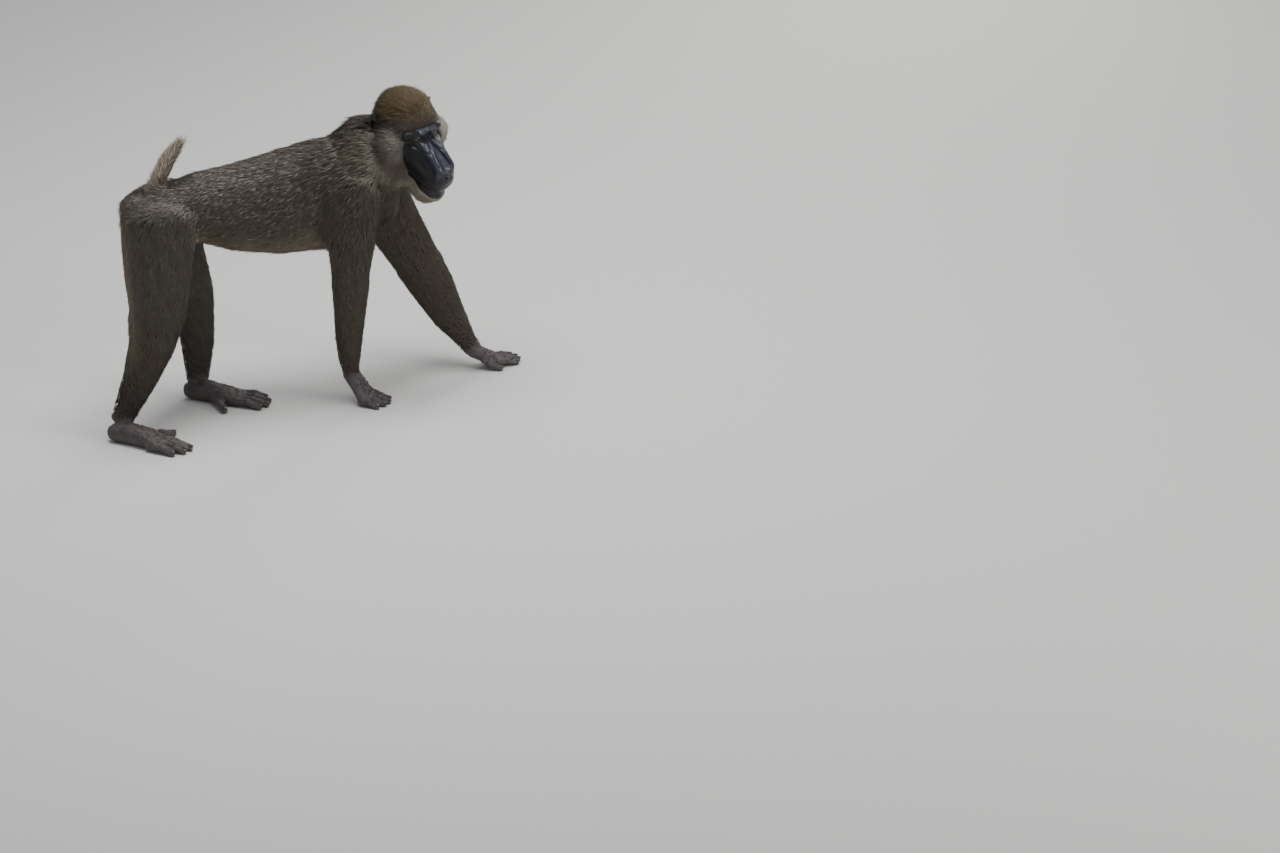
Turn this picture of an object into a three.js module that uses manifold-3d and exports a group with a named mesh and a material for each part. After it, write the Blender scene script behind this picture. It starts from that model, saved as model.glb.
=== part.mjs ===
// Life-size standing drill monkey
// Millimetres, +Z up. The animal walks along +X with its left side on +Y,
// and the floor is z = 0. Every outline is that of the coat, not of the skin.

import * as THREE from 'three';
import Module from 'manifold-3d';

const wasm = await Module();
wasm.setup();

// Driving dimensions

const GAP = 0.3; // clear space between neighbouring pieces
const GROW = 0.35; // how much a neighbour is swollen before it is cut away

// Trunk, as [x, z, half width, up, down] from the rump to the chest
const TRUNK = [
  [-302, 434, 54, 32, 42],
  [-280, 430, 66, 43, 56],
  [-240, 426, 70, 53, 66],
  [-177, 426, 69, 69, 70],
  [-112, 416, 73, 87, 88],
  [-37, 411, 78, 102, 101],
  [60, 415, 82, 112, 112],
  [125, 428, 74, 106, 106],
  [168, 434, 52, 74, 88],
];
const BELLY_TO_RUMP_X = -170;
const CHEST_TO_BELLY_X = 5;

// Neck, as [x, y, z, half width, nape side, throat side]
const NECK = [
  [92, 0, 436, 70, 79, 84],
  [144, 2, 474, 69, 77, 90],
  [184, 4, 502, 60, 71, 82],
  [212, 6, 516, 50, 53, 66],
];

// Head: the point midway between the eyes, and the way the face looks
const HEAD_AT = [258, -70, 528];
const HEAD_YAW = -63;
const HEAD_PITCH = 16;
const HEAD_ROLL = 2;
const EYE_RADIUS = 9.6;
const EYE_AT = [-9, 17.5, -1];
const EAR_AT = [-90, 57, 5];
const EAR_RADII = [17, 7, 20];
const EAR_FLARE = 38; // degrees the ear turns out from the side of the head
const EAR_CLEARANCE = 6; // the mane stands this far clear of an ear

// Tail, as [x, y, z, half width, half depth]
const TAIL = [
  [-262, 0, 462, 17, 17],
  [-250, 0, 496, 15, 15],
  [-232, 0, 528, 13, 14],
  [-208, 0, 556, 9, 10],
];

// Limbs, as [x, y, z, half width, front, back] from the trunk down.
// The y of a right limb is negative.
const RIGHT_ARM = [
  [100, -54, 452, 30, 60, 54],
  [98, -70, 394, 36, 54, 54],
  [93, -78, 330, 33, 46, 47],
  [86, -80, 276, 29, 38, 39],
  [80, -75, 215, 27, 33, 34],
  [73, -66, 150, 23, 28, 29],
  [69, -56, 92, 20, 22, 23],
  [70, -50, 60, 19, 16, 16],
];
const LEFT_ARM = [
  [134, 48, 430, 30, 72, 56],
  [160, 66, 370, 38, 70, 58],
  [195, 76, 300, 36, 58, 52],
  [234, 78, 222, 33, 47, 49],
  [258, 66, 166, 31, 44, 44],
  [283, 46, 110, 26, 33, 36],
  [304, 30, 68, 21, 24, 24],
  [320, 20, 40, 19, 17, 17],
];
const RIGHT_LEG = [
  [-268, -48, 440, 44, 80, 68],
  [-271, -56, 398, 46, 76, 72],
  [-280, -66, 330, 43, 67, 66],
  [-286, -76, 262, 38, 57, 60],
  [-306, -76, 190, 33, 45, 48],
  [-335, -68, 122, 26, 34, 37],
  [-362, -58, 70, 21, 27, 29],
  [-378, -54, 36, 18, 22, 24],
];
const LEFT_LEG = [
  [-262, 48, 440, 44, 78, 66],
  [-250, 56, 390, 46, 70, 70],
  [-230, 66, 318, 43, 58, 62],
  [-206, 74, 244, 37, 43, 52],
  [-203, 80, 184, 32, 37, 42],
  [-206, 86, 116, 27, 34, 33],
  [-210, 88, 66, 22, 28, 28],
  [-212, 86, 38, 18, 22, 24],
];

// Feet and hands: where the heel or wrist stands, and the way the toes point
const RIGHT_FOOT = { at: [-405, -58], yaw: -40, medial: 1, scale: 1.03 };
const LEFT_FOOT = { at: [-238, 90], yaw: -35, medial: -1, scale: 1.03 };
const RIGHT_HAND = { at: [68, -48], yaw: -38, medial: 1, steep: true };
const LEFT_HAND = { at: [318, 20], yaw: 6, medial: -1, steep: false };

// Digits, with the place of the root across and along the palm or sole.
// The big toe and the thumb are set apart from these.
const TOES = [
  { y: 16, x: 112, length: 60 },
  { y: 4, x: 114, length: 66 },
  { y: -9, x: 112, length: 64 },
  { y: -21, x: 106, length: 55 },
];
const FINGERS = [
  { y: 18, length: 40 },
  { y: 6, length: 47 },
  { y: -6, length: 45 },
  { y: -18, length: 37 },
];
const TOE_RADIUS = 7.5;
const BIG_TOE_RADIUS = 9;
const FINGER_RADIUS = 7;
const THUMB_RADIUS = 6.5;

// Joints, where a limb is parted: a point of the plane and the way it faces
const RIGHT_ELBOW = { at: [86, -80, 276], along: [-0.1, 0, -1] };
const RIGHT_WRIST = { at: [70, -50, 66], along: [0, 0, -1] };
const LEFT_ELBOW = { at: [234, 78, 222], along: [0.42, 0, -0.9] };
const LEFT_WRIST = { at: [312, 24, 52], along: [0.42, 0, -0.9] };
const RIGHT_KNEE = { at: [-286, -76, 252], along: [-0.2, 0, -1] };
const RIGHT_ANKLE = { at: [-372, -54, 46], along: [-0.35, 0, -0.94] };
const LEFT_KNEE = { at: [-206, 74, 240], along: [0, 0, -1] };
const LEFT_ANKLE = { at: [-212, 86, 48], along: [0, 0, -1] };

// Small helpers

const radians = THREE.MathUtils.degToRad;

function solidOf(geometry) {
  const mesh = new wasm.Mesh({
    numProp: 3,
    vertProperties: new Float32Array(geometry.getAttribute('position').array),
    triVerts: new Uint32Array(geometry.getIndex().array),
  });
  return new wasm.Manifold(mesh);
}

function geometryOf(solid) {
  const mesh = solid.getMesh();
  const geometry = new THREE.BufferGeometry();
  geometry.setAttribute('position', new THREE.BufferAttribute(mesh.vertProperties, 3));
  geometry.setIndex(new THREE.BufferAttribute(mesh.triVerts, 1));
  geometry.computeVertexNormals();
  return geometry;
}

function union(solids) {
  return solids.reduce((joined, solid) => joined.add(solid));
}

function largest(solid) {
  const bodies = solid.decompose();
  return bodies.reduce((best, body) => (body.volume() > best.volume() ? body : best));
}

// Splits a solid at a plane, leaving the gap, as [behind, ahead]
function parted(solid, point, direction) {
  const normal = new THREE.Vector3(...direction).normalize();
  const offset = normal.dot(new THREE.Vector3(...point));
  const ahead = solid.trimByPlane(normal.toArray(), offset + GAP / 2);
  const behind = solid.trimByPlane(normal.clone().negate().toArray(), GAP / 2 - offset);
  return [behind, ahead];
}

// A closed body swept through oval sections with domed ends.
// A station holds its centre and its half sizes: to the side, front and back.
// The side direction is level, and turn swings it about the vertical.
function loft(stations, options = {}) {
  const { sides = 16, steps = 1, grow = 0, turn = 0, dome = 1, domeAngles = [60, 30] } = options;
  const path = new THREE.CatmullRomCurve3(
    stations.map(([x, y, z]) => new THREE.Vector3(x, y, z)));
  const sizes = new THREE.CatmullRomCurve3(
    stations.map(([, , , side, front, back]) => new THREE.Vector3(side, front, back)),
    false, 'catmullrom', 0.5);
  const level = new THREE.Vector3(-Math.sin(radians(turn)), Math.cos(radians(turn)), 0);
  const count = (stations.length - 1) * steps;
  const points = [];

  function ring(t, shift, shrink) {
    const tangent = path.getTangent(t);
    const side = level.clone().addScaledVector(tangent, -level.dot(tangent)).normalize();
    const front = tangent.clone().cross(side);
    const centre = path.getPoint(t).addScaledVector(tangent, shift);
    const size = sizes.getPoint(t).addScalar(grow).multiplyScalar(shrink);
    for (let j = 0; j < sides; j += 1) {
      const angle = (2 * Math.PI * j) / sides;
      const depth = Math.sin(angle) > 0 ? size.y : size.z;
      points.push(centre.clone()
        .addScaledVector(side, Math.cos(angle) * size.x)
        .addScaledVector(front, Math.sin(angle) * depth));
    }
  }

  function domeDepth(t) {
    const size = sizes.getPoint(t);
    return dome * Math.min(size.x, (size.y + size.z) / 2) + grow;
  }

  domeAngles.forEach((angle) => {
    ring(0, -domeDepth(0) * Math.sin(radians(angle)), Math.cos(radians(angle)));
  });
  for (let i = 0; i <= count; i += 1) ring(i / count, 0, 1);
  [...domeAngles].reverse().forEach((angle) => {
    ring(1, domeDepth(1) * Math.sin(radians(angle)), Math.cos(radians(angle)));
  });
  const rings = points.length / sides;
  const startPole = points.length;
  points.push(path.getPoint(0).addScaledVector(path.getTangent(0), -domeDepth(0)));
  points.push(path.getPoint(1).addScaledVector(path.getTangent(1), domeDepth(1)));

  const index = [];
  for (let j = 0; j < sides; j += 1) {
    const next = (j + 1) % sides;
    for (let i = 0; i < rings - 1; i += 1) {
      const low = i * sides;
      const high = low + sides;
      index.push(low + j, low + next, high + next, low + j, high + next, high + j);
    }
    const last = (rings - 1) * sides;
    index.push(startPole, next, j, startPole + 1, last + j, last + next);
  }
  const geometry = new THREE.BufferGeometry().setFromPoints(points);
  geometry.setIndex(index);
  return geometry;
}

// An oval body with its three half sizes, leaned and turned before it is moved
function oval(at, radii, { grow = 0, lean = [0, 0, 0], rows = 10, columns = 16 } = {}) {
  const [rx, ry, rz] = radii.map((r) => r + grow);
  const points = [new THREE.Vector3(0, 0, rz)];
  for (let i = 1; i < rows; i += 1) {
    const polar = (Math.PI * i) / rows;
    for (let j = 0; j < columns; j += 1) {
      const around = (2 * Math.PI * j) / columns;
      points.push(new THREE.Vector3(
        rx * Math.sin(polar) * Math.cos(around),
        ry * Math.sin(polar) * Math.sin(around),
        rz * Math.cos(polar)));
    }
  }
  points.push(new THREE.Vector3(0, 0, -rz));
  const bottom = points.length - 1;
  const lastRow = 1 + (rows - 2) * columns;
  const index = [];
  for (let j = 0; j < columns; j += 1) {
    const next = (j + 1) % columns;
    index.push(0, 1 + j, 1 + next, bottom, lastRow + next, lastRow + j);
    for (let i = 0; i < rows - 2; i += 1) {
      const high = 1 + i * columns;
      const low = high + columns;
      index.push(high + j, low + j, low + next, high + j, low + next, high + next);
    }
  }
  const geometry = new THREE.BufferGeometry().setFromPoints(points);
  geometry.setIndex(index);
  const turned = new THREE.Euler(...lean.map(radians), 'ZYX');
  const move = new THREE.Matrix4().makeRotationFromEuler(turned).setPosition(...at);
  return geometry.applyMatrix4(move);
}

// Trunk and tail

function trunkSolid(grow) {
  const stations = TRUNK.map(([x, z, side, up, down]) => [x, 0, z, side, up, down]);
  return solidOf(loft(stations, { sides: 16, grow, dome: 0.75 }));
}

function neckSolid(grow) {
  return solidOf(loft(NECK, { sides: 12, grow, turn: -6, dome: 0.3 }));
}

function tailSolid() {
  const stations = TAIL.map(([x, y, z, side, depth]) => [x, y, z, side, depth, depth]);
  return solidOf(loft(stations, { sides: 10, dome: 1.6 }));
}

// Head, made level and facing +X with the point between the eyes at 0, then set

function headPlace() {
  const turn = new THREE.Euler(
    radians(HEAD_ROLL), radians(HEAD_PITCH), radians(HEAD_YAW), 'ZYX');
  return new THREE.Matrix4().makeRotationFromEuler(turn).setPosition(...HEAD_AT);
}

function setOnHead(geometry) {
  return solidOf(geometry.applyMatrix4(headPlace()));
}

// A direction or a point of the head in the animal's own frame
function headPoint(x, y, z) {
  return new THREE.Vector3(x, y, z).applyMatrix4(headPlace()).toArray();
}

function headDirection(x, y, z) {
  return new THREE.Vector3(x, y, z).transformDirection(headPlace()).toArray();
}

function faceGeometry(grow) {
  const stations = [
    [-34, 0, -30, 48, 42, 52],
    [-4, 0, -38, 43, 36, 58],
    [22, 0, -50, 35, 32, 54],
    [44, 0, -62, 28, 31, 45],
    [59, 0, -72, 22, 28, 32],
  ];
  return loft(stations, { sides: 14, steps: 2, grow, dome: 0.45 });
}

function noseRidge(side, grow) {
  const stations = [
    [4, side * 16, -11, 10, 8, 9],
    [34, side * 13.5, -23, 9, 8, 9],
    [64, side * 12, -40, 7.5, 7, 8],
  ];
  return loft(stations, { sides: 8, grow });
}

function browRidge(grow) {
  const stations = [
    [-16, -38, 6, 8, 8, 8],
    [-3, -20, 12, 9, 8, 8],
    [1, 0, 12, 9, 8, 8],
    [-3, 20, 12, 9, 8, 8],
    [-16, 38, 6, 8, 8, 8],
  ];
  return loft(stations, { sides: 8, grow, turn: -90 });
}

function headSolids(grow) {
  return [
    oval([-66, 0, 6], [68, 58, 56], { grow, rows: 9, columns: 14 }),
    oval([-46, 0, -32], [42, 80, 56], { grow, rows: 7, columns: 12 }),
    oval([-34, 0, -84], [46, 44, 50], { grow, rows: 6, columns: 10 }),
    faceGeometry(grow),
    noseRidge(1, grow),
    noseRidge(-1, grow),
    browRidge(grow),
    oval([67, 0, -45], [10, 11, 8], { grow, rows: 6, columns: 8 }),
    oval([6, 0, -108], [48, 31, 36], { grow, rows: 6, columns: 10 }),
  ].map(setOnHead);
}

function eyeAt(side, grow) {
  const [x, y, z] = EYE_AT;
  const radii = [EYE_RADIUS, EYE_RADIUS, EYE_RADIUS];
  return setOnHead(oval([x, side * y, z], radii, { grow, rows: 7, columns: 10 }));
}

function earShell(side, grow) {
  const [x, y, z] = EAR_AT;
  const lean = [0, 0, side * EAR_FLARE];
  return setOnHead(oval([x, side * y, z], EAR_RADII, { grow, lean, rows: 6, columns: 10 }));
}

function earAt(side) {
  const [x, y, z] = EAR_AT;
  const lean = [0, 0, side * EAR_FLARE];
  const hollow = setOnHead(
    oval([x + 6, side * (y + 5), z], [10, 6, 12], { lean, rows: 6, columns: 8 }));
  return earShell(side, 0).subtract(hollow);
}

// Hands and feet, made from the heel or wrist at 0 along +X, then set

function setDown({ at, yaw, scale = 1 }) {
  return new THREE.Matrix4().makeRotationZ(radians(yaw))
    .scale(new THREE.Vector3(scale, scale, scale)).setPosition(at[0], at[1], 0);
}

function digit(root, knuckle, tip, radius) {
  const stations = [
    [...root, radius * 1.1, radius, radius],
    [...knuckle, radius, radius, radius],
    [...tip, radius * 0.85, radius * 0.8, radius * 0.9],
  ];
  return loft(stations, { sides: 6, domeAngles: [45] });
}

function footGeometries({ medial }) {
  const sole = [
    [12, 0, 17, 16, 17, 20],
    [48, 1 * medial, 22, 19, 19, 26],
    [86, 2 * medial, 17, 24, 15, 22],
    [116, -2 * medial, 11, 26, 10, 15],
  ];
  const toes = TOES.map(({ x, y, length }) => digit(
    [x - 8, y * medial, 9],
    [x + length * 0.45, y * 1.15 * medial, 12],
    [x + length - 8, y * 1.3 * medial, 5.5], TOE_RADIUS));
  const bigToe = digit(
    [66, 12 * medial, 10], [88, 32 * medial, 11], [106, 50 * medial, 7], BIG_TOE_RADIUS);
  return [loft(sole, { sides: 10, domeAngles: [45] }), ...toes, bigToe];
}

function handGeometries({ medial, steep }) {
  const wristHeight = steep ? 62 : 40;
  const reach = steep ? 34 : 46;
  const palm = [
    [0, 0, wristHeight, 19, 15, 15],
    [reach * 0.5, 0, wristHeight * 0.6, 22, 13, 14],
    [reach, 0, 12, 25, 10, 17],
  ];
  const fingers = FINGERS.map(({ y, length }) => digit(
    [reach - 6, y * medial, 9],
    [reach + length * 0.4, y * 1.1 * medial, 11],
    [reach + length - 6, y * 1.2 * medial, 5], FINGER_RADIUS));
  const thumb = digit(
    [reach * 0.35, 16 * medial, wristHeight * 0.5],
    [reach * 0.6, 27 * medial, wristHeight * 0.3],
    [reach * 0.95, 36 * medial, 5], THUMB_RADIUS);
  return [loft(palm, { sides: 10, domeAngles: [45] }), ...fingers, thumb];
}

// Anything under the floor is cut off, which leaves the flats it stands on
function extremity(geometries, place) {
  const move = setDown(place);
  const solids = geometries.map((geometry) => solidOf(geometry.applyMatrix4(move)));
  return union(solids).trimByPlane([0, 0, 1], 0);
}

// Materials

function coat(color, roughness = 0.95) {
  return new THREE.MeshStandardMaterial({ color, roughness, metalness: 0 });
}

const GREY_BROWN = '#6f6355';
const DARK_BROWN = '#4d443b';
const OLIVE_BROWN = '#6b5f45';
const BARE_DARK = '#3a3335';
const FACE_BLACK = '#17161a';
const EYE_AMBER = '#5a3a16';
const PALE_BUFF = '#a08e78';

// Assembly

// The spine is laid out at y = 0, and the whole is moved so that the origin
// lies under the middle of the animal's box
const MIDDLE_FROM_SPINE = 37;

const drill = new THREE.Group();
drill.position.set(0, MIDDLE_FROM_SPINE, 0);

function addPiece(name, solid, material) {
  const piece = new THREE.Mesh(geometryOf(largest(solid)), material);
  piece.name = name;
  drill.add(piece);
}

const sockets = union([eyeAt(1, GROW), eyeAt(-1, GROW)]);
const headWhole = union(headSolids(0)).subtract(sockets);
const headGrown = union(headSolids(GROW));
const trunkGrown = trunkSolid(GROW);
const neckGrown = neckSolid(GROW);
const upright = [1, 0, 0];

// Trunk in three pieces
const trunkWhole = trunkSolid(0).subtract(headGrown);
const [rearTrunk, chest] = parted(trunkWhole, [CHEST_TO_BELLY_X, 0, 0], upright);
const [rump, belly] = parted(rearTrunk, [BELLY_TO_RUMP_X, 0, 0], upright);
addPiece('chest', chest, coat(GREY_BROWN));
addPiece('belly', belly, coat(GREY_BROWN));
addPiece('rump', rump, coat(GREY_BROWN));
const aroundEars = union([headGrown, earShell(1, EAR_CLEARANCE), earShell(-1, EAR_CLEARANCE)]);
addPiece('neck', neckSolid(0).subtract(aroundEars).subtract(trunkGrown), coat(GREY_BROWN));
addPiece('tail', tailSolid().subtract(trunkGrown), coat(PALE_BUFF));

// Head in three pieces: the mouth line runs back from the lips
const mouthNormal = headDirection(0.28, 0, 1);
const [behindFace, faceFront] = parted(
  headWhole, headPoint(12, 0, -20), headDirection(1, 0, -0.3));
const [jawFront, muzzle] = parted(faceFront, headPoint(74, 0, -74), mouthNormal);
addPiece('head', behindFace, coat(OLIVE_BROWN));
addPiece('muzzle', muzzle, coat(FACE_BLACK, 0.5));
addPiece('lower_jaw', jawFront, coat(FACE_BLACK, 0.5));
[['left', 1], ['right', -1]].forEach(([name, side]) => {
  addPiece(`eye_${name}`, eyeAt(side, 0), coat(EYE_AMBER, 0.15));
  addPiece(`ear_${name}`, earAt(side).subtract(headGrown), coat(BARE_DARK));
});

// A limb is one body from the trunk to the digits, parted at its joints
function addLimb(stations, end, joints, names, colors) {
  const whole = union([solidOf(loft(stations, { sides: 12, dome: 0.5 })), end])
    .subtract(trunkGrown).subtract(neckGrown).subtract(headGrown);
  const [upper, belowUpper] = parted(largest(whole), joints[0].at, joints[0].along);
  const [lower, tip] = parted(belowUpper, joints[1].at, joints[1].along);
  [upper, lower, tip].forEach((solid, i) => addPiece(names[i], solid, coat(colors[i])));
}

const LIMB_COLORS = [GREY_BROWN, DARK_BROWN, BARE_DARK];

function limbNames(kind, side) {
  return kind.map((word) => `${word}_${side}`);
}

const ARM = ['upper_arm', 'forearm', 'hand'];
const LEG = ['thigh', 'shank', 'foot'];

addLimb(RIGHT_ARM, extremity(handGeometries(RIGHT_HAND), RIGHT_HAND),
  [RIGHT_ELBOW, RIGHT_WRIST], limbNames(ARM, 'right'), LIMB_COLORS);
addLimb(LEFT_ARM, extremity(handGeometries(LEFT_HAND), LEFT_HAND),
  [LEFT_ELBOW, LEFT_WRIST], limbNames(ARM, 'left'), LIMB_COLORS);
addLimb(RIGHT_LEG, extremity(footGeometries(RIGHT_FOOT), RIGHT_FOOT),
  [RIGHT_KNEE, RIGHT_ANKLE], limbNames(LEG, 'right'), LIMB_COLORS);
addLimb(LEFT_LEG, extremity(footGeometries(LEFT_FOOT), LEFT_FOOT),
  [LEFT_KNEE, LEFT_ANKLE], limbNames(LEG, 'left'), LIMB_COLORS);

export default drill;
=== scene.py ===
# %% [markdown]
# A drill, walking
# This lesson dresses a faceted solid model of a drill, a forest monkey, as a museum would show it.
# The solids give the size and the outline of the coat. The lesson adds one skin under that outline,
# then the eyes and nails, and last the coat, in thousands of small tufts.

import math

import bpy
import numpy as np
from mathutils import Matrix, Vector
from mathutils.bvhtree import BVHTree


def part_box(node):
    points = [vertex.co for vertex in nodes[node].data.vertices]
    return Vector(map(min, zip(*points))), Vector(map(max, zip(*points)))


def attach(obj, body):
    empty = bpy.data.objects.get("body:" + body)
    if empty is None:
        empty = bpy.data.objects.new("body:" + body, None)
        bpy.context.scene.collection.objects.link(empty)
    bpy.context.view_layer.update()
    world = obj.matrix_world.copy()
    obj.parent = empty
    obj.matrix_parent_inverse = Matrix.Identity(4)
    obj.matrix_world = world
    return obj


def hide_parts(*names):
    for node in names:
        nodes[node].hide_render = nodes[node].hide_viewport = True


MM = 0.001
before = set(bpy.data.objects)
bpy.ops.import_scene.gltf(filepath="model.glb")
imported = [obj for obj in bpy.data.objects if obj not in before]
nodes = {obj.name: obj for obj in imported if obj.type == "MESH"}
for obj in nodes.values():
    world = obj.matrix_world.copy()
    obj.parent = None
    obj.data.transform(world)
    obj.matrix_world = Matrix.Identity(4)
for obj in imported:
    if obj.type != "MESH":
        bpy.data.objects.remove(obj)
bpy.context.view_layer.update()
chance = np.random.default_rng(7)

# %% [markdown]
# The view
# The photo was taken from well above and to the animal's right, from some way off, with a long lens.
# A long lens keeps the near and far legs the same size. The ground in the photo slopes, and the model
# stands on a level floor, so the camera is rolled by that slope instead.

# %% Place the camera
CAMERA_AT = Vector((-1.385, -12.683, 5.567))
CAMERA_HEADING = math.radians(-9)
CAMERA_DROP = math.radians(24)
CAMERA_ROLL = math.radians(5)
CAMERA_LENS = 202.8
SENSOR_WIDTH = 36.0


def add_camera():
    back = Vector((
        math.sin(CAMERA_HEADING) * math.cos(CAMERA_DROP),
        -math.cos(CAMERA_HEADING) * math.cos(CAMERA_DROP),
        math.sin(CAMERA_DROP),
    ))
    level = back.cross(Vector((0, 0, 1))).normalized() * -1
    above = back.cross(level)
    right = level * math.cos(CAMERA_ROLL) - above * math.sin(CAMERA_ROLL)
    up = level * math.sin(CAMERA_ROLL) + above * math.cos(CAMERA_ROLL)
    bpy.ops.object.camera_add(location=CAMERA_AT)
    camera = bpy.context.active_object
    turned = Matrix((right, up, back)).transposed().to_4x4()
    camera.matrix_world = Matrix.Translation(CAMERA_AT) @ turned
    camera.data.lens = CAMERA_LENS
    camera.data.sensor_width = SENSOR_WIDTH
    camera.data.clip_end = 200
    bpy.context.scene.camera = camera
    return camera


camera = add_camera()
print("camera:", [round(v, 2) for v in camera.location])

# %% [markdown]
# The room
# A studio has a pale floor and large soft lamps. The photo is lit from above by an open sky, so the
# largest lamp hangs overhead, a weaker one fills from the camera's side, and a third lights the far edge.

# %% Make the floor and the lamps
FLOOR_COLOUR = (0.62, 0.61, 0.59, 1)


def new_material(name, roughness, colour=(0.5, 0.5, 0.5, 1)):
    material = bpy.data.materials.new(name)
    material.use_nodes = True
    shader = material.node_tree.nodes["Principled BSDF"]
    shader.inputs["Roughness"].default_value = roughness
    shader.inputs["Base Color"].default_value = colour
    return material, shader


def add_floor():
    bpy.ops.object.select_all(action="DESELECT")
    bpy.ops.mesh.primitive_plane_add(size=60, location=(0, 0, 0))
    floor = bpy.context.active_object
    floor.name = "floor"
    material, _ = new_material("pale_floor", 0.85, FLOOR_COLOUR)
    floor.data.materials.append(material)


def add_lamp(name, place, aim, size, power, colour=(1, 1, 1)):
    bpy.ops.object.light_add(type="AREA", location=place)
    lamp = bpy.context.active_object
    lamp.name = name
    lamp.data.shape = "DISK"
    lamp.data.size = size
    lamp.data.energy = power
    lamp.data.color = colour
    way = Vector(aim) - Vector(place)
    lamp.rotation_euler = way.to_track_quat("-Z", "Y").to_euler()


add_floor()
add_lamp("lamp_overhead", (0.1, -0.1, 2.9), (0, 0, 0.3), 1.8, 88, (0.97, 0.985, 1.0))
add_lamp("lamp_camera_side", (3.1, -2.6, 1.9), (0.05, 0, 0.35), 1.6, 62, (1.0, 0.99, 0.97))
add_lamp("lamp_far_edge", (1.9, 2.2, 1.3), (0.2, 0, 0.45), 1.2, 26, (1.0, 0.98, 0.95))
world = bpy.data.worlds.new("studio")
world.use_nodes = True
world.node_tree.nodes["Background"].inputs["Color"].default_value = (0.86, 0.88, 0.92, 1)
world.node_tree.nodes["Background"].inputs["Strength"].default_value = 0.42
bpy.context.scene.world = world

# %% [markdown]
# Places on the head
# The face is worked in the head's own measure: millimetres forward, to the left and up from the point
# midway between the eyes. One matrix carries that measure into the room, however the head is turned.

# %% Set up the head's own measure
HEAD_YAW = math.radians(-63)
HEAD_PITCH = math.radians(16)
HEAD_ROLL = math.radians(2)
EYE_PLACE = (-9.0, 17.5, -1.0)
EYE_RADIUS = 9.6


def box_centre(name):
    low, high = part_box(name)
    return (low + high) / 2


def head_matrix():
    turn = (Matrix.Rotation(HEAD_YAW, 4, "Z") @ Matrix.Rotation(HEAD_PITCH, 4, "Y")
            @ Matrix.Rotation(HEAD_ROLL, 4, "X"))
    between_eyes = (box_centre("eye_left") + box_centre("eye_right")) / 2
    middle = Vector((EYE_PLACE[0], 0, EYE_PLACE[2])) * MM
    return Matrix.Translation(between_eyes - turn.to_3x3() @ middle) @ turn


HEAD = head_matrix()
HEAD_TURN = np.array(HEAD.to_3x3())
HEAD_AT = np.array(HEAD.translation)


def to_head(points):
    return (points - HEAD_AT) @ HEAD_TURN / MM


def from_head(places):
    return np.asarray(places) * MM @ HEAD_TURN.T + HEAD_AT


print("between the eyes:", HEAD_AT.round(3))

# %% [markdown]
# One body from many solids
# The solids are parted by thin cuts, and a skin has none. Copies of them, swollen by a hair's breadth so
# that they overlap, are joined, and a voxel remesh wraps one surface round them all. The eyes go in too,
# so that the sockets are filled, and the lids can be shaped from that surface.

# %% Wrap the solids in one surface
SWELL = 0.5 * MM
VOXEL = 1.9 * MM


def only(obj):
    bpy.ops.object.select_all(action="DESELECT")
    obj.select_set(True)
    bpy.context.view_layer.objects.active = obj


def apply_modifier(obj, kind, **settings):
    modifier = obj.modifiers.new(kind.lower(), kind)
    for key, value in settings.items():
        setattr(modifier, key, value)
    only(obj)
    bpy.ops.object.modifier_apply(modifier=modifier.name)


def copy_solid(name):
    copy = bpy.data.objects.new(name + "_copy", nodes[name].data.copy())
    bpy.context.scene.collection.objects.link(copy)
    copy.data.materials.clear()
    only(copy)
    bpy.ops.object.mode_set(mode="EDIT")
    bpy.ops.mesh.select_all(action="SELECT")
    bpy.ops.mesh.remove_doubles(threshold=0.01 * MM)
    bpy.ops.object.mode_set(mode="OBJECT")
    apply_modifier(copy, "DISPLACE", strength=SWELL, mid_level=0)
    return copy


def wrap_solids():
    copies = [copy_solid(name) for name in sorted(nodes)]
    bpy.ops.object.select_all(action="DESELECT")
    for copy in copies:
        copy.select_set(True)
    bpy.context.view_layer.objects.active = copies[0]
    bpy.ops.object.join()
    body = bpy.context.active_object
    body.name = "skin"
    body.data.name = "skin"
    apply_modifier(body, "REMESH", mode="VOXEL", voxel_size=VOXEL)
    return body


def points_of(mesh):
    flat = np.empty(len(mesh.vertices) * 3, np.float32)
    mesh.vertices.foreach_get("co", flat)
    return flat.reshape(-1, 3).astype(float)


def set_points(mesh, points):
    mesh.vertices.foreach_set("co", points.astype(np.float32).ravel())
    mesh.update()


def normals_of(mesh):
    flat = np.empty(len(mesh.vertices) * 3, np.float32)
    mesh.vertex_normals.foreach_get("vector", flat)
    return flat.reshape(-1, 3).astype(float)


def edges_of(mesh):
    flat = np.empty(len(mesh.edges) * 2, np.int32)
    mesh.edges.foreach_get("vertices", flat)
    return flat.reshape(-1, 2)


def edit_points(body, wanted):
    """Enters edit mode with only the wanted points selected."""
    only(body)
    bpy.ops.object.mode_set(mode="EDIT")
    bpy.ops.mesh.select_mode(type="VERT")
    bpy.ops.mesh.select_all(action="DESELECT")
    bpy.ops.object.mode_set(mode="OBJECT")
    body.data.vertices.foreach_set("select", wanted)
    bpy.ops.object.mode_set(mode="EDIT")
    bpy.ops.mesh.select_mode(type="VERT")


def keep_largest_island(body):
    """Anything the wrap left loose inside is taken away."""
    edges = edges_of(body.data)
    label = np.arange(len(body.data.vertices))
    while True:
        low = np.minimum(label[edges[:, 0]], label[edges[:, 1]])
        before = label.copy()
        np.minimum.at(label, edges[:, 0], low)
        np.minimum.at(label, edges[:, 1], low)
        label = label[label]
        if (label == before).all():
            break
    main = np.bincount(label).argmax()
    edit_points(body, label != main)
    bpy.ops.mesh.delete(type="VERT")
    bpy.ops.object.mode_set(mode="OBJECT")


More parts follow.
